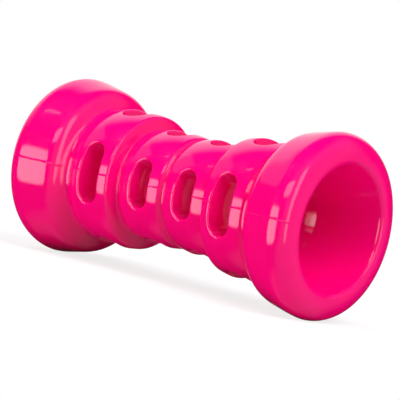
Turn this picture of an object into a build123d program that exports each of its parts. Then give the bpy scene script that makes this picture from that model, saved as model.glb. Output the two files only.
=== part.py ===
"""Rubber chew toy: a hollow spool moulded in one soft rubber.

Two flared bells stand at the ends of a ringed waist. Four rings lie between the bells, parted by five
round-bottomed necks where the rubber bends, and four treat slots go through the wall of every ring.
The toy lies on its bells with its axis along X. Z is up, and the floor under the bells is Z = 0.
"""
import os
from math import asin, atan2, hypot, radians, tan

from build123d import *

# Overall size
overall_length = 150.0

# Bells: rim, shoulder and mouth. The step is how far the shoulder lies inside the rim, measured along a radius
rim_diameter = 74.6
rim_round = 8.2
shoulder_step = 3.6
shoulder_round = 7.0
rim_wall = 11.4
lip_round = 2.2

# Rings: the pitch of a ring runs from the middle of one neck to the middle of the next
inner_ring_diameter = 48.0
inner_ring_pitch = 23.7
inner_ring_crown = 1.1
inner_ring_shoulder_round = 2.7
outer_ring_diameter = 57.6
outer_ring_pitch = 23.5
outer_ring_crown = 1.1
outer_ring_shoulder_round = 3.6

# Necks: the bottoms of the grooves. Their depths are measured from the crest of the lower ring beside them
waist_groove_depth = 5.8
ring_groove_depth = 4.3
bell_groove_depth = 5.3
neck_length = 2.0
neck_round = 0.4

# Hollow: a straight bore through the waist, then one taper to the bells and a wider one to the mouth.
# The walls of the waist neck and of the bell necks set its width
waist_neck_wall = 4.2
bell_neck_wall = 5.8

# Treat slots round each ring, measured at the crest of the ring
slots_per_ring = 4
inner_slot_length = 20.6
inner_slot_width = 9.4
outer_slot_length = 25.8
outer_slot_width = 10.2
slot_edge_round = 1.3
slot_draft_angle = 9.0

# Slot cuts start this far outside the crest, and end in the hollow at this share of its radius
cut_overrun = 2.0
cut_end_share = 0.5

# The rounds of a bell take at most these shares of the wall, the flank and the length that they lie on
rim_wall_share = 0.72
lip_wall_share = 0.25
rim_run_share = 0.5
shoulder_run_share = 0.35
shoulder_flank_share = 0.9

# Sizes and places that follow from the ones above
waist_neck_radius = inner_ring_diameter / 2 - waist_groove_depth
ring_neck_radius = inner_ring_diameter / 2 - ring_groove_depth
bell_neck_radius = outer_ring_diameter / 2 - bell_groove_depth
bore_diameter = 2 * (waist_neck_radius - waist_neck_wall)
throat_diameter = 2 * (bell_neck_radius - bell_neck_wall)
mouth_diameter = rim_diameter - 2 * rim_wall
axis_height = rim_diameter / 2
rim_end = overall_length / 2
half_neck = neck_length / 2
ring_neck_place = inner_ring_pitch
bell_neck_place = inner_ring_pitch + outer_ring_pitch
taper_start = ring_neck_place + half_neck
bell_start = bell_neck_place + half_neck

# The section that is turned into each piece stands between two slots
toy_axis = Axis((0, 0, axis_height), (1, 0, 0))
section_plane = Plane((0, 0, axis_height), x_dir=(1, 0, 0), z_dir=(0, -1, 0))
section_plane = section_plane.rotated((180 / slots_per_ring, 0, 0))

os.makedirs("parts", exist_ok=True)


def bore_radius(place):
    """Radius of the hollow between the bells, at a distance from the middle of the toy."""
    taper_share = max(place - taper_start, 0) / (bell_start - taper_start)
    return (bore_diameter + taper_share * (throat_diameter - bore_diameter)) / 2


def corner(place, radius):
    """The corner of the drawn section that lies nearest to a place along the axis and a radius."""
    return vertices().sort_by_distance(Vector(place, radius))[0]


def finish(piece, name):
    """Name a piece and write it to its own file."""
    piece.part.label = name
    export_step(piece.part, f"parts/{name}.step")


# Bell: a thick flared cup. Its flank rises from the neck to a rounded shoulder, the barrel flares until
# it touches the round rim, and a narrow flat land on the rim lets the toy stand on its end
bell_flank = bell_start + neck_round
bell_run = rim_end - bell_flank
shoulder_radius = rim_diameter / 2 - shoulder_step
shoulder_height = shoulder_radius - bell_neck_radius - neck_round
rim_fillet = min(rim_round, rim_wall_share * rim_wall, rim_run_share * bell_run)
lip_fillet = min(lip_round, lip_wall_share * rim_wall)
shoulder_fillet = min(shoulder_round, shoulder_flank_share * shoulder_height, shoulder_run_share * bell_run)
barrel_run = bell_run - rim_fillet
barrel_drop = rim_fillet - shoulder_step
barrel_slope = asin(rim_fillet / hypot(barrel_run, barrel_drop)) - atan2(barrel_drop, barrel_run)
rim_corner_radius = shoulder_radius + bell_run * tan(barrel_slope)
with BuildPart() as right_bell:
    with BuildSketch(section_plane):
        with BuildLine():
            neck_side = (bell_start, bell_neck_radius)
            flank_foot = (bell_flank, bell_neck_radius + neck_round)
            TangentArc(neck_side, flank_foot, tangent=(1, 0))
            Polyline(
                flank_foot,
                (bell_flank, shoulder_radius),
                (rim_end, rim_corner_radius),
                (rim_end, mouth_diameter / 2),
                (bell_start, throat_diameter / 2),
                neck_side,
            )
        make_face()
        fillet(corner(bell_flank, shoulder_radius), shoulder_fillet)
        fillet(corner(rim_end, rim_corner_radius), rim_fillet)
        fillet(corner(rim_end, mouth_diameter / 2), lip_fillet)
    revolve(axis=toy_axis)
finish(right_bell, "right_bell")

with BuildPart() as left_bell:
    mirror(right_bell.part, about=Plane.YZ)
finish(left_bell, "left_bell")


def ring_piece(start, end, near_neck, far_neck, radius, crown, shoulder_round, slot_length, slot_width):
    """A crowned ring between two necks, with rounded slots cut through to the hollow."""
    middle = (start + end) / 2
    near_flank = start + neck_round
    far_flank = end - neck_round
    crown_foot = radius - crown
    flank_height = crown_foot - max(near_neck, far_neck) - neck_round
    corner_round = min(shoulder_round, flank_height)
    with BuildPart() as ring:
        with BuildSketch(section_plane):
            with BuildLine():
                TangentArc((start, near_neck), (near_flank, near_neck + neck_round), tangent=(1, 0))
                Line((near_flank, near_neck + neck_round), (near_flank, crown_foot))
                ThreePointArc((near_flank, crown_foot), (middle, radius), (far_flank, crown_foot))
                Line((far_flank, crown_foot), (far_flank, far_neck + neck_round))
                TangentArc((far_flank, far_neck + neck_round), (end, far_neck), tangent=(0, -1))
                Polyline(
                    (end, far_neck),
                    (end, bore_radius(end)),
                    (start, bore_radius(start)),
                    (start, near_neck),
                )
            make_face()
            fillet([corner(near_flank, crown_foot), corner(far_flank, crown_foot)], corner_round)
        revolve(axis=toy_axis)

        # Each slot narrows towards the axis by the draft of its mould insert
        cut_start = radius + cut_overrun
        cut_depth = cut_start - cut_end_share * bore_radius(start)
        draft_growth = 2 * cut_overrun * tan(radians(slot_draft_angle))
        for turn in range(slots_per_ring):
            outward = Vector(0, 0, 1).rotate(Axis.X, turn * 360 / slots_per_ring)
            mouth = Vector(middle, 0, axis_height) + outward * cut_start
            around = Vector(1, 0, 0).cross(outward)
            with BuildSketch(Plane(mouth, x_dir=around, z_dir=-outward)):
                SlotOverall(slot_length + draft_growth, slot_width + draft_growth)
            extrude(amount=cut_depth, taper=slot_draft_angle, mode=Mode.SUBTRACT)

        # The rims of the slots are well rounded on the outside
        wall_middle = (radius + bore_radius(middle)) / 2
        slot_rims = [
            edge
            for edge in ring.edges().filter_by(GeomType.LINE, reverse=True)
            if abs((edge @ 0.5).X - middle) < slot_width / 2 + slot_edge_round / 2
            and hypot((edge @ 0.5).Y, (edge @ 0.5).Z - axis_height) > wall_middle
        ]
        fillet(slot_rims, slot_edge_round)
    return ring


# Rings: the inner pair makes the waist, and the outer pair swells towards the bells
ring_sizes = {
    "inner_ring": (
        half_neck,
        ring_neck_place - half_neck,
        waist_neck_radius,
        ring_neck_radius,
        inner_ring_diameter / 2,
        inner_ring_crown,
        inner_ring_shoulder_round,
        inner_slot_length,
        inner_slot_width,
    ),
    "outer_ring": (
        taper_start,
        bell_neck_place - half_neck,
        ring_neck_radius,
        bell_neck_radius,
        outer_ring_diameter / 2,
        outer_ring_crown,
        outer_ring_shoulder_round,
        outer_slot_length,
        outer_slot_width,
    ),
}
for name, sizes in ring_sizes.items():
    right_ring = ring_piece(*sizes)
    finish(right_ring, f"right_{name}")
    with BuildPart() as left_ring:
        mirror(right_ring.part, about=Plane.YZ)
    finish(left_ring, f"left_{name}")


# Necks: short tubes at the bottoms of the grooves, where the toy bends
neck_places = {
    "left_bell_neck": (-bell_neck_place, bell_neck_radius),
    "left_ring_neck": (-ring_neck_place, ring_neck_radius),
    "waist_neck": (0, waist_neck_radius),
    "right_ring_neck": (ring_neck_place, ring_neck_radius),
    "right_bell_neck": (bell_neck_place, bell_neck_radius),
}
for name, (place, neck_radius) in neck_places.items():
    low, high = place - half_neck, place + half_neck
    with BuildPart() as neck:
        with BuildSketch(section_plane):
            with BuildLine():
                Polyline(
                    (low, bore_radius(abs(low))),
                    (low, neck_radius),
                    (high, neck_radius),
                    (high, bore_radius(abs(high))),
                    close=True,
                )
            make_face()
        revolve(axis=toy_axis)
    finish(neck, name)
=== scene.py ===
"""Rubber chew toy in glossy pink rubber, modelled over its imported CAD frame.

The toy is one soft moulding: two flared bells, four slotted rings, and the necks between them where it bends.
It lies on its bells with its axis along X. Sizes are in millimetres and become metres where a mesh is made.
"""
from math import asin, atan2, cos, hypot, pi, radians, sin, tan

import bpy
import numpy as np
from mathutils import Matrix, Vector


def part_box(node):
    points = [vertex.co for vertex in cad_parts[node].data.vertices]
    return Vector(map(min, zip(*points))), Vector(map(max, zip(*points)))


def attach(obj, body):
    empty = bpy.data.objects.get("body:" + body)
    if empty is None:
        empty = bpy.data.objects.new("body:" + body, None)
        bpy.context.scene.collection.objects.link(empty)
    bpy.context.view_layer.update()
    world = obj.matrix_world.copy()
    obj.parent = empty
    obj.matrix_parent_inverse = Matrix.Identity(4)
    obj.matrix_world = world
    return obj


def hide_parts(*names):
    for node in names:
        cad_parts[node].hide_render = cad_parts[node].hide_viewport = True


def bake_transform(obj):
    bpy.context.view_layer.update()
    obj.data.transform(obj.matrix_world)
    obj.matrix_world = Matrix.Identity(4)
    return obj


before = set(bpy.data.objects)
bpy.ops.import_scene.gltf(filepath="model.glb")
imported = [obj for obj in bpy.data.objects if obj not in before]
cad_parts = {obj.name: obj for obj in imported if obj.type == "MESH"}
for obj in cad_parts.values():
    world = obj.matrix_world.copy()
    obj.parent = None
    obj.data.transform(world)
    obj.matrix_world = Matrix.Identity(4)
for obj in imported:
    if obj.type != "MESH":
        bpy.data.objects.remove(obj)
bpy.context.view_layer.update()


# Bells: the flared ends of the toy, thick soft rubber with a round rim and an open mouth.
# They come out of the mould in one with the rest. The wall is drawn in section and turned about the axis.
MM = 0.001
shoulder_step = 3.6
shoulder_reach = 7.0
rim_round = 8.2
rim_wall = 11.4
lip_round = 2.2
bell_neck_wall = 5.8
neck_round = 0.4
bell_turn_steps = 192
section_step = 1.0
rim_segments = 20
lip_segments = 10
barrel_smoothing = 12
smoothing_start = 4.0
touching = 1e-6
parting_line_width = 0.5
parting_line_height = 0.12


def node_box(node):
    """Lowest and highest corner of a CAD node, in millimetres."""
    lo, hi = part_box(node)
    return np.array(lo) / MM, np.array(hi) / MM


def node_radius(node):
    """Outside radius of a turned CAD node, in millimetres."""
    lo, hi = node_box(node)
    return (hi[2] - lo[2]) / 2


bell_lo, bell_hi = node_box("right_bell")
bell_start, rim_end = bell_lo[0], bell_hi[0]
rim_radius = node_radius("right_bell")
axis_height = (bell_lo[2] + bell_hi[2]) / 2
axis_point = Vector((0, 0, axis_height * MM))
throat_radius = node_radius("right_bell_neck") - bell_neck_wall
mouth_radius = rim_radius - rim_wall

# The grooves are soft valleys: their flanks swing from the shoulders beside them down to a round bottom
neck_lo, neck_hi = node_box("right_bell_neck")
half_neck = (neck_hi[0] - neck_lo[0]) / 2
groove_bottoms = {"waist_neck": 21.2, "right_ring_neck": 22.3, "right_bell_neck": 26.9}
bell_fullness = (0.4, 0.7)
ring_fullness = (0.4, 0.62)
flank_points = 33


def groove_flank(neck, reach, height, slope, fullness):
    """Distances and radii up the flank of a groove, from its middle to a shoulder."""
    bottom = groove_bottoms[neck]
    bottom_share, shoulder_share = fullness
    lead = shoulder_share * reach
    hold = [
        (0, bottom),
        (bottom_share * reach, bottom),
        (reach - lead * cos(slope), height - lead * sin(slope)),
        (reach, height),
    ]
    rise = np.linspace(0, 1, flank_points)[:, None]
    weights = [(1 - rise) ** 3, 3 * rise * (1 - rise) ** 2, 3 * rise**2 * (1 - rise), rise**3]
    return sum(weight * np.array(point) for weight, point in zip(weights, hold))


def split_flank(flank):
    """The stretch of a flank that lies on the neck, and the stretch beside it."""
    edge = [half_neck, np.interp(half_neck, flank[:, 0], flank[:, 1])]
    return [*flank[flank[:, 0] < half_neck], edge], [edge, *flank[flank[:, 0] > half_neck]]


def on_section(place, radius):
    """Point of the section in front of the toy's axis, in metres."""
    return Vector((place, -radius, axis_height)) * MM


def draw_section(name, corners):
    """Flat face with the given corners, each a place along the axis and a radius."""
    bpy.ops.object.select_all(action="DESELECT")
    bpy.ops.mesh.primitive_circle_add(vertices=len(corners), fill_type="NGON")
    piece = bpy.context.object
    piece.name = piece.data.name = name
    for vertex, corner in zip(piece.data.vertices, corners):
        vertex.co = on_section(*corner)
    return piece


def pick(piece, wanted):
    """Select in edit mode the points of a piece whose place passes a test."""
    bpy.ops.object.mode_set(mode="EDIT")
    bpy.ops.mesh.select_mode(type="VERT")
    bpy.ops.mesh.select_all(action="DESELECT")
    bpy.ops.object.mode_set(mode="OBJECT")
    for vertex in piece.data.vertices:
        vertex.select = bool(wanted(vertex.co))
    bpy.ops.object.mode_set(mode="EDIT")


def round_corner(piece, corners, number, size, segments):
    """Round one corner of a section to a radius."""
    here = on_section(*corners[number])
    before = on_section(*corners[number - 1]) - here
    after = on_section(*corners[(number + 1) % len(corners)]) - here
    setback = size * MM / tan(before.angle(after) / 2)
    pick(piece, lambda place: (place - here).length < touching)
    bpy.ops.mesh.bevel(offset=setback, segments=segments, affect="VERTICES", clamp_overlap=False)
    bpy.ops.object.mode_set(mode="OBJECT")


def turn_section(piece, steps):
    """Turn the outline of a section about the toy's axis into a closed body."""
    bpy.ops.object.mode_set(mode="EDIT")
    bpy.ops.mesh.select_all(action="SELECT")
    bpy.ops.mesh.spin(steps=steps, angle=2 * pi, center=axis_point, axis=(1, 0, 0))
    close_mesh()


def close_mesh():
    """Merge what meets in the mesh being edited, and turn its faces outwards."""
    bpy.ops.mesh.select_all(action="SELECT")
    bpy.ops.mesh.remove_doubles(threshold=touching)
    bpy.ops.mesh.normals_make_consistent(inside=False)
    bpy.ops.object.mode_set(mode="OBJECT")


def divide_long_edges(piece, step):
    """Keep only the outline of a section, and halve its edges until none is longer than a step."""
    bpy.ops.object.mode_set(mode="EDIT")
    bpy.ops.mesh.select_mode(type="EDGE")
    bpy.ops.mesh.select_all(action="SELECT")
    bpy.ops.mesh.delete(type="ONLY_FACE")
    longest = step + 1
    while longest > step:
        bpy.ops.mesh.select_all(action="DESELECT")
        bpy.ops.object.mode_set(mode="OBJECT")
        longest = 0
        for edge in piece.data.edges:
            a, b = (piece.data.vertices[end].co for end in edge.vertices)
            edge.select = (a - b).length > step * MM
            longest = max(longest, (a - b).length / MM)
        bpy.ops.object.mode_set(mode="EDIT")
        if longest > step:
            bpy.ops.mesh.subdivide(number_cuts=1)
    bpy.ops.object.mode_set(mode="OBJECT")


def raise_parting_line(piece, lowest):
    """Raise the fine ridge where the halves of the mould met, along both sides of a piece at mid-height."""

    def on_line(place):
        return abs(place.z - axis_point.z) < touching and abs(place.y) > lowest * MM

    pick(piece, on_line)
    bpy.ops.mesh.bevel(offset=parting_line_width / 2 * MM, segments=2, affect="EDGES")
    bpy.ops.object.mode_set(mode="OBJECT")
    pick(piece, on_line)
    bpy.ops.transform.shrink_fatten(value=parting_line_height * MM)
    bpy.ops.object.mode_set(mode="OBJECT")


bell_flank = bell_start + neck_round
bell_run = rim_end - bell_flank
shoulder_radius = rim_radius - shoulder_step
barrel_run = bell_run - rim_round
barrel_drop = rim_round - shoulder_step
barrel_slope = asin(rim_round / hypot(barrel_run, barrel_drop)) - atan2(barrel_drop, barrel_run)
shoulder_start = bell_flank + shoulder_reach
shoulder_height = shoulder_radius + shoulder_reach * tan(barrel_slope)
groove_middle = bell_start - half_neck
flanks = {}
flanks["right_bell_neck", 1] = groove_flank(
    "right_bell_neck", shoulder_start - groove_middle, shoulder_height, barrel_slope, bell_fullness
)
bell_side = split_flank(flanks["right_bell_neck", 1])[1]
bell_corners = [(groove_middle + along, radius) for along, radius in bell_side]
bell_corners += [
    (rim_end, shoulder_radius + bell_run * tan(barrel_slope)),
    (rim_end, mouth_radius),
    (bell_start, throat_radius),
]
right_bell = draw_section("right_bell_rubber", bell_corners)
for number, size, segments in [(-3, rim_round, rim_segments), (-2, lip_round, lip_segments)]:
    round_corner(right_bell, bell_corners, number, size, segments)
divide_long_edges(right_bell, section_step)
pick(right_bell, lambda place: groove_middle + smoothing_start < place.x / MM < rim_end - rim_round)
bpy.ops.mesh.vertices_smooth(factor=0.5, repeat=barrel_smoothing)
bpy.ops.object.mode_set(mode="OBJECT")
turn_section(right_bell, bell_turn_steps)
raise_parting_line(right_bell, rim_radius - rim_round)


def linear(colour):
    """Linear colour of an sRGB hex value."""
    channels = [int(colour[place:place + 2], 16) / 255 for place in (1, 3, 5)]
    return [c / 12.92 if c <= 0.04045 else ((c + 0.055) / 1.055) ** 2.4 for c in channels] + [1]


def add_node(tree, kind, settings, inputs):
    """Add a node, set its properties and its inputs, and link the inputs that are given as sockets."""
    node = tree.nodes.new(kind)
    for name, value in settings.items():
        setattr(node, name, value)
    for name, value in inputs.items():
        if isinstance(value, bpy.types.NodeSocket):
            tree.links.new(value, node.inputs[name])
        else:
            node.inputs[name].default_value = value
    return node


def pattern_scale(size):
    """Scale of a noise whose features are about this many millimetres across."""
    return 1 / (size * MM)


# Thermoplastic rubber, moulded against a polished tool: a deep even pink with a wet gloss. The eye sees soft
# ripples in the reflections, a little cloudiness in the pigment and a few specks of dust under the gloss
rubber = bpy.data.materials.new("moulded_pink_rubber")
rubber.use_nodes = True
tree = rubber.node_tree
shader = tree.nodes["Principled BSDF"]
coords = add_node(tree, "ShaderNodeTexCoord", {}, {}).outputs["Object"]
clouds = add_node(tree, "ShaderNodeTexNoise", {}, {"Vector": coords, "Scale": pattern_scale(22), "Detail": 2})
pigment = add_node(
    tree,
    "ShaderNodeMix",
    {"data_type": "RGBA"},
    {"Factor": clouds.outputs["Fac"], 6: linear("#e6016a"), 7: linear("#ee0274")},
)
dust = add_node(tree, "ShaderNodeTexNoise", {}, {"Vector": coords, "Scale": pattern_scale(1.4), "Detail": 1})
speck = add_node(
    tree,
    "ShaderNodeMapRange",
    {},
    {"Value": dust.outputs["Fac"], "From Min": 0.74, "From Max": 0.8, "To Min": 0, "To Max": 0.35},
)
colour = add_node(
    tree,
    "ShaderNodeMix",
    {"data_type": "RGBA"},
    {"Factor": speck.outputs["Result"], 6: pigment.outputs[2], 7: linear("#c2024e")},
)
smears = add_node(tree, "ShaderNodeTexNoise", {}, {"Vector": coords, "Scale": pattern_scale(9), "Detail": 3})
gloss = add_node(
    tree,
    "ShaderNodeMapRange",
    {},
    {"Value": smears.outputs["Fac"], "From Min": 0.3, "From Max": 0.7, "To Min": 0.05, "To Max": 0.1},
)
ripples = add_node(tree, "ShaderNodeTexNoise", {}, {"Vector": coords, "Scale": pattern_scale(6), "Detail": 1})
ripple_bump = add_node(
    tree,
    "ShaderNodeBump",
    {},
    {"Height": ripples.outputs["Fac"], "Strength": 0.25, "Distance": 0.12 * MM},
)
grain = add_node(tree, "ShaderNodeTexNoise", {}, {"Vector": coords, "Scale": pattern_scale(0.9), "Detail": 2})
grain_bump = add_node(
    tree,
    "ShaderNodeBump",
    {},
    {
        "Height": grain.outputs["Fac"],
        "Strength": 0.12,
        "Distance": 0.03 * MM,
        "Normal": ripple_bump.outputs["Normal"],
    },
)
tree.links.new(colour.outputs[2], shader.inputs["Base Color"])
tree.links.new(gloss.outputs["Result"], shader.inputs["Roughness"])
tree.links.new(grain_bump.outputs["Normal"], shader.inputs["Normal"])
shader.inputs["IOR"].default_value = 1.5
shader.inputs["Subsurface Weight"].default_value = 0.12
shader.inputs["Subsurface Radius"].default_value = (1.0, 0.15, 0.35)
shader.inputs["Subsurface Scale"].default_value = 2.5 * MM

smooth_angle = radians(40)


def finish_rubber(piece, node):
    """Give a piece the rubber and its smooth shading, and let it stand for its CAD node."""
    bpy.ops.object.select_all(action="DESELECT")
    piece.select_set(True)
    bpy.context.view_layer.objects.active = piece
    bpy.ops.object.shade_smooth_by_angle(angle=smooth_angle)
    piece.data.materials.clear()
    piece.data.materials.append(rubber)
    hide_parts(node)


def other_end(piece, name):
    """Copy of a piece for the other end of the toy, turned half round about the upright."""
    bpy.ops.object.select_all(action="DESELECT")
    piece.select_set(True)
    bpy.context.view_layer.objects.active = piece
    bpy.ops.object.duplicate()
    copy = bpy.context.object
    copy.name = copy.data.name = name
    bpy.ops.transform.rotate(value=pi, orient_axis="Z", center_override=(0, 0, 0))
    bpy.ops.object.transform_apply(location=True, rotation=True, scale=True)
    return copy


left_bell = other_end(right_bell, "left_bell_rubber")
for piece, body in [(right_bell, "right_bell"), (left_bell, "left_bell")]:
    finish_rubber(piece, body)
    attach(piece, body)


# Rings: the four crowned rings between the bells, each with four treat slots through its wall.
# The same moulding as the bells. One quarter is modelled round its slot, repeated and closed by its sides.
slots_per_ring = 4
slot_draft = tan(radians(9))
slot_edge_round = 1.0
slot_inner_round = 0.5
slot_edge_loops = 9
slot_wall_loops = 6
land_loops = 8
small_step = 0.05
draft_tries = 12
parting_line_drop = 0.2
waist_neck_wall = 4.2
ring_shapes = {
    "inner_ring": {
        "crest": 24.0,
        "crown": 1.1,
        "crown_end": 9.0,
        "slot": (20.6, 9.4),
        "necks": ("waist_neck", "right_ring_neck"),
    },
    "outer_ring": {
        "crest": 28.8,
        "crown": 1.1,
        "crown_end": 9.0,
        "slot": (25.8, 10.2),
        "necks": ("right_ring_neck", "right_bell_neck"),
    },
}
waist_bore = node_radius("waist_neck") - waist_neck_wall
taper_start = node_box("right_ring_neck")[1][0]

# Points are counted round a slot from a corner of its quarter: 16 on each end and 36 on each long side of the
# quarter's border, and 32 on each round end and 20 on each straight side of the slot
border_knots = [0, 16, 52, 68, 104]
slot_knots = [0, 24, 44, 76, 96, 104]
count = np.arange(slot_knots[-1] + 1)
border_turn = np.interp(count, border_knots, np.radians([45, 45, -45, -45, 45]))
border_side = np.interp(count, border_knots, [-1, 1, 1, -1, -1])
slot_turn = np.interp(count, slot_knots, np.radians([-45, 90, 90, 270, 270, 315]))
slot_end = np.interp(count, slot_knots, [1, 1, -1, -1, 1, 1])
ring_turn_steps = slots_per_ring * (border_knots[2] - border_knots[1])


def bore_radius(place):
    """Radius of the hollow at a place along the axis."""
    return np.interp(place, [taper_start, bell_start], [waist_bore, throat_radius])


def slot_loop(half_width, straight, surface):
    """Points round a slot of this half width on a surface: around, along and outward."""
    around = slot_end * straight / 2 + half_width * np.cos(slot_turn)
    along = half_width * np.sin(slot_turn)
    return np.array([around, along, np.sqrt(surface(along) ** 2 - around**2)])


def slot_rim(slot, crest, surface, size, inward):
    """Loops of a rounded slot edge, from the wall of the slot to the surface that it opens on."""
    length, width = slot

    # The slot narrows inwards, so its width where it meets the surface is found in a few tries
    half_width = np.full(len(count), width / 2)
    for _ in range(draft_tries):
        edge = slot_loop(half_width, length - width, surface)
        half_width = width / 2 - (crest - edge[2]) * slot_draft
    away = slot_loop(half_width + small_step, length - width, surface) - edge
    away /= np.linalg.norm(away, axis=0)
    wall = np.array([slot_draft * np.cos(slot_turn), slot_draft * np.sin(slot_turn), np.ones(len(count))])
    wall *= -inward
    wall /= np.linalg.norm(wall, axis=0)
    half_angle = np.arccos((away * wall).sum(axis=0)) / 2
    reach = size / np.tan(half_angle)
    on_surface = slot_loop(half_width + reach * np.hypot(away[0], away[1]), length - width, surface)
    on_wall = edge + reach * wall

    # The loops follow a round arc from the wall to the surface
    loops = []
    for share in np.linspace(0, 1, slot_edge_loops):
        pull = 2 * np.sin(half_angle) * share * (1 - share)
        total = (1 - share) ** 2 + pull + share**2
        loops.append(((1 - share) ** 2 * on_wall + pull * edge + share**2 * on_surface) / total)
    return loops


def spread(loop, reach, surface):
    """Loops that open out from the rim of a slot to the border of its quarter."""
    turn = np.arctan2(loop[0], loop[2])
    loops = []
    for share in np.linspace(0, 1, land_loops + 1)[1:]:
        angle = (1 - share) * turn + share * border_turn
        along = (1 - share) * loop[1] + share * border_side * reach
        loops.append(np.array([surface(along) * np.sin(angle), along, surface(along) * np.cos(angle)]))
    return loops


def ring_side(side, half_length, crown_end, crown_height, crown_slope, neck, bore):
    """Outline of one side of a ring, from the end of its crown down into the groove and to the bore."""
    groove_middle = half_length + half_neck
    flank = groove_flank(neck, groove_middle - crown_end, crown_height, crown_slope, ring_fullness)
    flanks[neck, -side] = flank
    outline = [(groove_middle - along, radius) for along, radius in split_flank(flank)[1][::-1]]
    outline.append((half_length, bore))
    return [(side * along, radius) for along, radius in outline]


def slotted_ring(name, crest, crown, crown_end, slot, necks):
    """A ring of the right half of the toy, with its slots."""
    lo, hi = node_box(name)
    middle = (lo[0] + hi[0]) / 2
    half_length = (hi[0] - lo[0]) / 2
    flank = half_length - neck_round
    crown_radius = (flank**2 + crown**2) / (2 * crown)
    crown_middle = crest - crown_radius

    def crown_surface(along):
        return crown_middle + np.sqrt(crown_radius**2 - along**2)

    def bore_surface(along):
        return bore_radius(middle + along)

    outer_rim = slot_rim(slot, crest, crown_surface, slot_edge_round, 1)
    inner_rim = slot_rim(slot, crest, bore_surface, slot_inner_round, -1)
    wall_shares = np.linspace(0, 1, slot_wall_loops + 2)[1:-1]
    wall = [inner_rim[0] + (outer_rim[0] - inner_rim[0]) * share for share in wall_shares]
    loops = spread(inner_rim[-1], half_length, bore_surface)[::-1] + inner_rim[::-1]
    loops += wall + outer_rim + spread(outer_rim[-1], crown_end, crown_surface)

    # A grid is wrapped round the top slot, from the bore up its wall and out over the crown
    bpy.ops.object.select_all(action="DESELECT")
    bpy.ops.mesh.primitive_grid_add(x_subdivisions=len(count) - 1, y_subdivisions=len(loops) - 1)
    ring = bpy.context.object
    ring.name = ring.data.name = f"{name}_rubber"
    places = [
        np.column_stack([middle + along, around, axis_height + outward]) for around, along, outward in loops
    ]
    ring.data.vertices.foreach_set("co", (np.concatenate(places) * MM).ravel())
    bpy.ops.object.mode_set(mode="EDIT")
    bpy.ops.mesh.select_all(action="SELECT")
    bpy.ops.mesh.spin(
        steps=slots_per_ring - 1, dupli=True, angle=1.5 * pi, center=axis_point, axis=(1, 0, 0)
    )
    bpy.ops.object.mode_set(mode="OBJECT")

    # The two sides are turned from their outlines and joined on
    sides = []
    for side, neck in zip((-1, 1), necks):
        outline = ring_side(
            side,
            half_length,
            crown_end,
            crown_surface(crown_end),
            asin(crown_end / crown_radius),
            neck,
            bore_surface(side * half_length),
        )
        outline = [(middle + along, radius) for along, radius in outline]
        turned = draw_section("ring_side", outline)
        bpy.ops.object.mode_set(mode="EDIT")
        bpy.ops.mesh.select_all(action="SELECT")
        bpy.ops.mesh.delete(type="ONLY_FACE")
        bpy.ops.mesh.select_mode(type="EDGE")
        bpy.ops.mesh.select_all(action="DESELECT")
        bpy.ops.object.mode_set(mode="OBJECT")
        for edge in turned.data.edges:
            ends = {turned.data.vertices[end].index for end in edge.vertices}
            edge.select = ends == {0, len(outline) - 1}
        bpy.ops.object.mode_set(mode="EDIT")
        bpy.ops.mesh.delete(type="EDGE")
        bpy.ops.mesh.select_all(action="SELECT")
        bpy.ops.mesh.spin(steps=ring_turn_steps, angle=2 * pi, center=axis_point, axis=(1, 0, 0))
        bpy.ops.object.mode_set(mode="OBJECT")
        sides.append(turned)
    for piece in sides + [ring]:
        piece.select_set(True)
    bpy.context.view_layer.objects.active = ring
    bpy.ops.object.join()
    bpy.ops.object.mode_set(mode="EDIT")
    close_mesh()
    raise_parting_line(ring, crest - crown - parting_line_drop)
    return ring


for kind, shape in ring_shapes.items():
    right_ring = slotted_ring(f"right_{kind}", **shape)
    left_ring = other_end(right_ring, f"left_{kind}_rubber")
    for piece, body in [(right_ring, f"right_{kind}"), (left_ring, f"left_{kind}")]:
        finish_rubber(piece, body)
        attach(piece, body)


# Necks: the short thin tubes at the bottoms of the five grooves, part of the same moulding.
# The toy bends here. Each one is listed with the pieces on both sides of it, and its section continues their
# flanks.
neck_step = 0.5
neck_neighbours = {
    "left_bell_neck": ("left_bell", "left_outer_ring"),
    "left_ring_neck": ("left_outer_ring", "left_inner_ring"),
    "waist_neck": ("left_inner_ring", "right_inner_ring"),
    "right_ring_neck": ("right_inner_ring", "right_outer_ring"),
    "right_bell_neck": ("right_outer_ring", "right_bell"),
}
for name, (left_body, right_body) in neck_neighbours.items():
    lo, hi = node_box(name)
    middle = (lo[0] + hi[0]) / 2
    like = name.replace("left", "right")
    outward = 1 if like == name else -1
    flanks.setdefault((like, -1), flanks[like, 1])
    inner_half = split_flank(flanks[like, -1])[0]
    outer_half = split_flank(flanks[like, 1])[0]
    corners = [(middle - outward * along, radius) for along, radius in inner_half[:0:-1]]
    corners += [(middle + outward * along, radius) for along, radius in outer_half]
    for side in (outward, -outward):
        end = middle + side * half_neck
        corners.append((end, bore_radius(abs(end))))
    neck = draw_section(f"{name}_rubber", corners)
    divide_long_edges(neck, neck_step)
    turn_section(neck, bell_turn_steps)
    finish_rubber(neck, name)
    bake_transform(neck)


# Floor: a white paper sweep that the toy lies on. It takes a faint shadow under the toy and is otherwise as
# white as the background.
floor_size = 6
shade_within = 0.08
white_from = 0.25
whiteness_near = 0.8
bpy.ops.object.select_all(action="DESELECT")
bpy.ops.mesh.primitive_plane_add(size=floor_size)
floor = bpy.context.object
floor.name = "floor"
floor.visible_glossy = False
paper = bpy.data.materials.new("white_paper")
paper.use_nodes = True
tree = paper.node_tree
tree.nodes.clear()
coords = add_node(tree, "ShaderNodeTexCoord", {}, {}).outputs["Object"]
spread_out = add_node(tree, "ShaderNodeVectorMath", {"operation": "LENGTH"}, {0: coords})
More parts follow.
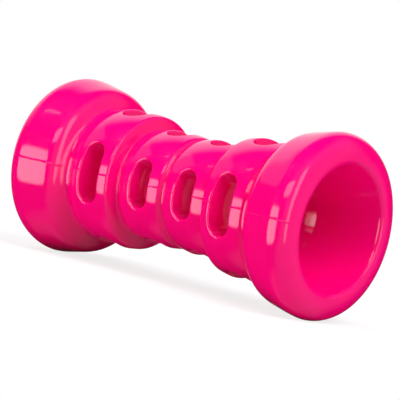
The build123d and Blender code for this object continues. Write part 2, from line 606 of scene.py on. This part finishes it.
whiteness = add_node(
    tree,
    "ShaderNodeMapRange",
    {"interpolation_type": "SMOOTHSTEP"},
    {
        "Value": spread_out.outputs["Value"],
        "From Min": shade_within,
        "From Max": white_from,
        "To Min": whiteness_near,
        "To Max": 1,
    },
)
rays = add_node(tree, "ShaderNodeLightPath", {}, {})
whitening = add_node(
    tree,
    "ShaderNodeMath",
    {"operation": "MULTIPLY"},
    {0: whiteness.outputs["Result"], 1: rays.outputs["Is Camera Ray"]},
)

# The paper throws back on the toy a little less light than the camera sees in it
paper_colour = add_node(
    tree,
    "ShaderNodeMix",
    {"data_type": "RGBA"},
    {"Factor": rays.outputs["Is Camera Ray"], 6: linear("#e2e2e2"), 7: linear("#f6f6f6")},
)
lit = add_node(tree, "ShaderNodeBsdfDiffuse", {}, {"Color": paper_colour.outputs[2]})
glow = add_node(tree, "ShaderNodeEmission", {}, {"Color": linear("#ffffff"), "Strength": 1})
surface = add_node(
    tree,
    "ShaderNodeMixShader",
    {},
    {0: whitening.outputs["Value"], 1: lit.outputs["BSDF"], 2: glow.outputs["Emission"]},
)
add_node(tree, "ShaderNodeOutputMaterial", {}, {"Surface": surface.outputs["Shader"]})
floor.data.materials.append(paper)


# Studio: a white backdrop behind the toy, a dim room in front of it so that the gloss stays deep, and soft
# boxes that show as pale patches in the gloss. Turns are degrees to the right of the front, and rises are
# degrees up from level.
room_fill = 0.16
room_gloss = 0.01
backdrop_gloss = 1.0
floor_gloss = 0.2
backdrop_edge = (0.74, 0.93)
floor_edge = (0.8, 0.92)
backdrop_direction = Vector((-0.7457, 0.5567, 0.3660))
soft_boxes = [
    {"turn": -11, "rise": -9, "width": 50, "height": 40, "strength": 4.6},
    {"turn": 76, "rise": 14, "width": 16, "height": 62, "strength": 2.4},
    {"turn": 28, "rise": 32, "width": 34, "height": 18, "strength": 3},
    {"turn": -42, "rise": 53, "width": 3, "height": 6, "strength": 1.5},
    {"turn": 95, "rise": 0, "width": 100, "height": 120, "strength": 0.3},
    {"turn": -76, "rise": 33, "width": 34, "height": 22, "strength": 0.35},
]

# A soft box is a rounded square: at its edge these powers of the offsets from its middle add up to about 1
box_power = 4
box_edge = (1.4, 0.6)


def direction(turn, rise):
    """Unit vector towards a turn and a rise."""
    turn, rise = radians(turn), radians(rise)
    return Vector((sin(turn) * cos(rise), -cos(turn) * cos(rise), sin(rise)))


world = bpy.data.worlds.new("studio")
bpy.context.scene.world = world
world.use_nodes = True
tree = world.node_tree
tree.nodes.clear()
looking = add_node(tree, "ShaderNodeTexCoord", {}, {}).outputs["Generated"]
behind = add_node(
    tree, "ShaderNodeVectorMath", {"operation": "DOT_PRODUCT"}, {0: looking, 1: backdrop_direction}
)
backdrop = add_node(
    tree,
    "ShaderNodeMapRange",
    {"interpolation_type": "SMOOTHSTEP"},
    {
        "Value": behind.outputs["Value"],
        "From Min": backdrop_edge[0],
        "From Max": backdrop_edge[1],
        "To Min": room_gloss,
        "To Max": backdrop_gloss,
    },
)
below = add_node(tree, "ShaderNodeVectorMath", {"operation": "DOT_PRODUCT"}, {0: looking, 1: (0, 0, -1)})
table = add_node(
    tree,
    "ShaderNodeMapRange",
    {"interpolation_type": "SMOOTHSTEP"},
    {
        "Value": below.outputs["Value"],
        "From Min": floor_edge[0],
        "From Max": floor_edge[1],
        "To Min": 0,
        "To Max": floor_gloss,
    },
)
seen = add_node(
    tree,
    "ShaderNodeMath",
    {"operation": "MAXIMUM"},
    {0: backdrop.outputs["Result"], 1: table.outputs["Result"]},
)
for box in soft_boxes:
    towards = direction(box["turn"], box["rise"])
    from_box = add_node(
        tree,
        "ShaderNodeMapping",
        {"vector_type": "TEXTURE"},
        {
            "Vector": looking,
            "Rotation": towards.to_track_quat("Z", "Y").to_euler(),
            "Scale": (sin(radians(box["width"] / 2)), sin(radians(box["height"] / 2)), 1),
        },
    )
    axes = add_node(tree, "ShaderNodeSeparateXYZ", {}, {"Vector": from_box.outputs["Vector"]})
    across = add_node(tree, "ShaderNodeMath", {"operation": "POWER"}, {0: axes.outputs["X"], 1: box_power})
    upward = add_node(tree, "ShaderNodeMath", {"operation": "POWER"}, {0: axes.outputs["Y"], 1: box_power})
    from_middle = add_node(
        tree,
        "ShaderNodeMath",
        {"operation": "ADD"},
        {0: across.outputs["Value"], 1: upward.outputs["Value"]},
    )
    patch = add_node(
        tree,
        "ShaderNodeMapRange",
        {"interpolation_type": "SMOOTHSTEP"},
        {
            "Value": from_middle.outputs["Value"],
            "From Min": box_edge[0],
            "From Max": box_edge[1],
            "To Min": 0,
            "To Max": box["strength"],
        },
    )
    ahead = add_node(tree, "ShaderNodeMath", {"operation": "GREATER_THAN"}, {0: axes.outputs["Z"], 1: 0})
    seen = add_node(
        tree,
        "ShaderNodeMath",
        {"operation": "MULTIPLY_ADD"},
        {0: patch.outputs["Result"], 1: ahead.outputs["Value"], 2: seen.outputs["Value"]},
    )
rays = add_node(tree, "ShaderNodeLightPath", {}, {})
room = add_node(
    tree,
    "ShaderNodeMix",
    {"data_type": "FLOAT"},
    {"Factor": rays.outputs["Is Glossy Ray"], "A": room_fill, "B": seen.outputs["Value"]},
)
strength = add_node(
    tree,
    "ShaderNodeMix",
    {"data_type": "FLOAT"},
    {"Factor": rays.outputs["Is Camera Ray"], "A": room.outputs["Result"], "B": 1},
)
background = add_node(
    tree,
    "ShaderNodeBackground",
    {},
    {"Color": linear("#ffffff"), "Strength": strength.outputs["Result"]},
)
add_node(tree, "ShaderNodeOutputWorld", {}, {"Surface": background.outputs["Background"]})

# Lamps: three large soft lights, which don't show in the gloss
lamps = [
    {"name": "top_lamp", "turn": -30, "rise": 62, "power": 7.2},
    {"name": "front_lamp", "turn": -25, "rise": 6, "power": 7.6},
    {"name": "right_lamp", "turn": 85, "rise": 54, "power": 14},
]
lamp_distance = 1.1
lamp_size = 0.8
for lamp in lamps:
    towards = direction(lamp["turn"], lamp["rise"])
    bpy.ops.object.light_add(type="AREA", location=axis_point + towards * lamp_distance)
    light = bpy.context.object
    light.name = lamp["name"]
    light.rotation_euler = towards.to_track_quat("Z", "Y").to_euler()
    light.data.shape = "SQUARE"
    light.data.size = lamp_size
    light.data.energy = lamp["power"]
    light.visible_glossy = False

# Camera: where the photograph was taken from, a long lens held a little off level.
bpy.ops.object.camera_add()
camera = bpy.context.object
camera_right = Vector((0.74883, 0.63097, 0.20281))
camera_down = Vector((0.18507, 0.09476, -0.97815))
camera_forward = Vector((-0.63640, 0.77000, -0.04582))
camera_place = Vector((0.57923, -0.69854, 0.07703))
turned = Matrix((camera_right, -camera_down, -camera_forward)).transposed()
camera.matrix_world = Matrix.Translation(camera_place) @ turned.to_4x4()
camera.data.lens = 200.85
camera.data.sensor_width = 36
camera.data.clip_end = 20
bpy.context.scene.camera = camera
bpy.context.scene.view_settings.view_transform = "Standard"
